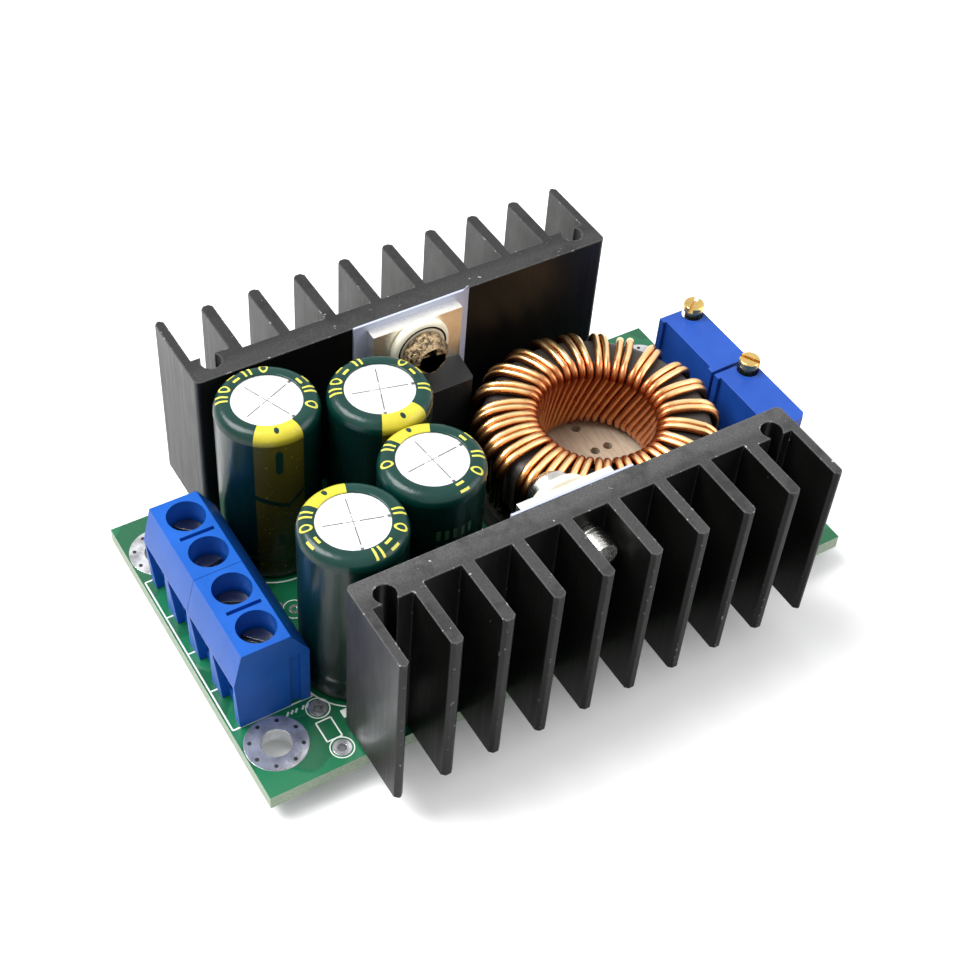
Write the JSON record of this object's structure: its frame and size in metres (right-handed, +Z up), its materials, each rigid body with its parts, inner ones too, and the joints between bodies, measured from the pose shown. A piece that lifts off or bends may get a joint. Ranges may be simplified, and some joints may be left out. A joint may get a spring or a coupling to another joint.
{
  "type": "buck converter module",
  "caption": "Step-down converter board with two finned heatsinks, ring inductor, can capacitors, screw terminals and screw-set trimmers.",
  "frame": {"origin": "centre of the circuit board's underside, midway between its four mounting holes", "axes": "+X from the terminals to the trimmers, +Y to the rear heatsink, +Z up from the board"},
  "size_m": [0.0658, 0.0476, 0.0235],
  "materials": {
    "solder_mask": "green board lacquer",
    "black_anodised": "black anodised",
    "tinned_pin": "tin plated",
    "insulating_film": "matt",
    "plated_copper": "tin plated copper",
    "black_moulding": "matt",
    "bush_plastic": "matt",
    "plated_steel": "bright plated",
    "trimmer_plastic": "satin",
    "yellow_brass": "bright",
    "base_plastic": "matt moulded",
    "core_powder": "matt powder coat",
    "enamelled_copper": "clear enamel",
    "can_aluminium": "bright",
    "green_sleeve": "glossy shrunk film",
    "seal_rubber": "matt",
    "terminal_plastic": "satin",
    "solder": "bright",
    "resistor_ceramic": "matt",
    "passive_ceramic": "matt"
  },
  "bodies": {
    "board": {"circuit_board": "solder_mask", "front_heatsink": "black_anodised", "rear_heatsink": "black_anodised", "front_heatsink_pins": "tinned_pin", "rear_heatsink_pins": "tinned_pin", "front_trimmer_pins": "tinned_pin", "rear_trimmer_pins": "tinned_pin", "front_insulating_pad": "insulating_film", "front_regulator_lead_frame": "plated_copper", "front_regulator_moulding": "black_moulding", "front_insulating_bush": "bush_plastic", "front_tab_screw": "plated_steel", "front_trimmer_housing": "trimmer_plastic", "rear_insulating_pad": "insulating_film", "rear_rectifier_lead_frame": "plated_copper", "rear_rectifier_moulding": "black_moulding", "rear_insulating_bush": "bush_plastic", "rear_tab_screw": "plated_steel", "rear_trimmer_housing": "trimmer_plastic", "inductor_base": "base_plastic", "inductor_core": "core_powder", "inductor_winding": "enamelled_copper", "capacitor_rear_left_can": "can_aluminium", "capacitor_rear_left_sleeve": "green_sleeve", "capacitor_rear_left_seal": "seal_rubber", "capacitor_rear_left_leads": "tinned_pin", "capacitor_rear_right_can": "can_aluminium", "capacitor_rear_right_sleeve": "green_sleeve", "capacitor_rear_right_seal": "seal_rubber", "capacitor_rear_right_leads": "tinned_pin", "capacitor_front_right_can": "can_aluminium", "capacitor_front_right_sleeve": "green_sleeve", "capacitor_front_right_seal": "seal_rubber", "capacitor_front_right_leads": "tinned_pin", "capacitor_front_left_can": "can_aluminium", "capacitor_front_left_sleeve": "green_sleeve", "capacitor_front_left_seal": "seal_rubber", "capacitor_front_left_leads": "tinned_pin", "input_terminal_housing": "terminal_plastic", "output_terminal_housing": "terminal_plastic", "terminal_cage_1": "plated_steel", "terminal_cage_2": "plated_steel", "terminal_cage_3": "plated_steel", "terminal_cage_4": "plated_steel", "solder_joints": "solder", "op_amp_chip": "black_moulding", "reference_regulator_chip": "black_moulding", "sense_resistor": "resistor_ceramic", "chip_passives": "passive_ceramic"},
    "clamp_1": {"terminal_clamp_1": "plated_steel"},
    "screw_1": {"terminal_screw_1": "plated_steel"},
    "clamp_2": {"terminal_clamp_2": "plated_steel"},
    "screw_2": {"terminal_screw_2": "plated_steel"},
    "clamp_3": {"terminal_clamp_3": "plated_steel"},
    "screw_3": {"terminal_screw_3": "plated_steel"},
    "clamp_4": {"terminal_clamp_4": "plated_steel"},
    "screw_4": {"terminal_screw_4": "plated_steel"},
    "rear_adjuster": {"rear_trimmer_screw": "yellow_brass"},
    "front_adjuster": {"front_trimmer_screw": "yellow_brass"}
  },
  "joints": [
    {"name": "clamp_1_slide", "type": "slide", "parent": "board", "child": "clamp_1", "axis": [0, 0, -1], "range_m": [0, 0.002]},
    {"name": "screw_1_turn", "type": "hinge", "parent": "clamp_1", "child": "screw_1", "pos_m": [-0.0286, 0.0075, 0.0085], "axis": [0, 0, -1], "range_deg": [0, 1440]},
    {"name": "clamp_2_slide", "type": "slide", "parent": "board", "child": "clamp_2", "axis": [0, 0, -1], "range_m": [0, 0.002]},
    {"name": "screw_2_turn", "type": "hinge", "parent": "clamp_2", "child": "screw_2", "pos_m": [-0.0286, 0.0025, 0.0085], "axis": [0, 0, -1], "range_deg": [0, 1440]},
    {"name": "clamp_3_slide", "type": "slide", "parent": "board", "child": "clamp_3", "axis": [0, 0, -1], "range_m": [0, 0.002]},
    {"name": "screw_3_turn", "type": "hinge", "parent": "clamp_3", "child": "screw_3", "pos_m": [-0.0286, -0.0025, 0.0085], "axis": [0, 0, -1], "range_deg": [0, 1440]},
    {"name": "clamp_4_slide", "type": "slide", "parent": "board", "child": "clamp_4", "axis": [0, 0, -1], "range_m": [0, 0.002]},
    {"name": "screw_4_turn", "type": "hinge", "parent": "clamp_4", "child": "screw_4", "pos_m": [-0.0286, -0.0075, 0.0085], "axis": [0, 0, -1], "range_deg": [0, 1440]},
    {"name": "rear_adjuster_turn", "type": "hinge", "parent": "board", "child": "rear_adjuster", "pos_m": [0.03157, 0.00855, 0.0125], "axis": [0, 0, 1], "continuous": true},
    {"name": "front_adjuster_turn", "type": "hinge", "parent": "board", "child": "front_adjuster", "pos_m": [0.03157, -0.00128, 0.0125], "axis": [0, 0, 1], "continuous": true}
  ],
  "couplings": [
    {"joint": "screw_1_turn", "follows": "clamp_1_slide", "rad_per_m": 12566},
    {"joint": "screw_2_turn", "follows": "clamp_2_slide", "rad_per_m": 12566},
    {"joint": "screw_3_turn", "follows": "clamp_3_slide", "rad_per_m": 12566},
    {"joint": "screw_4_turn", "follows": "clamp_4_slide", "rad_per_m": 12566}
  ]
}
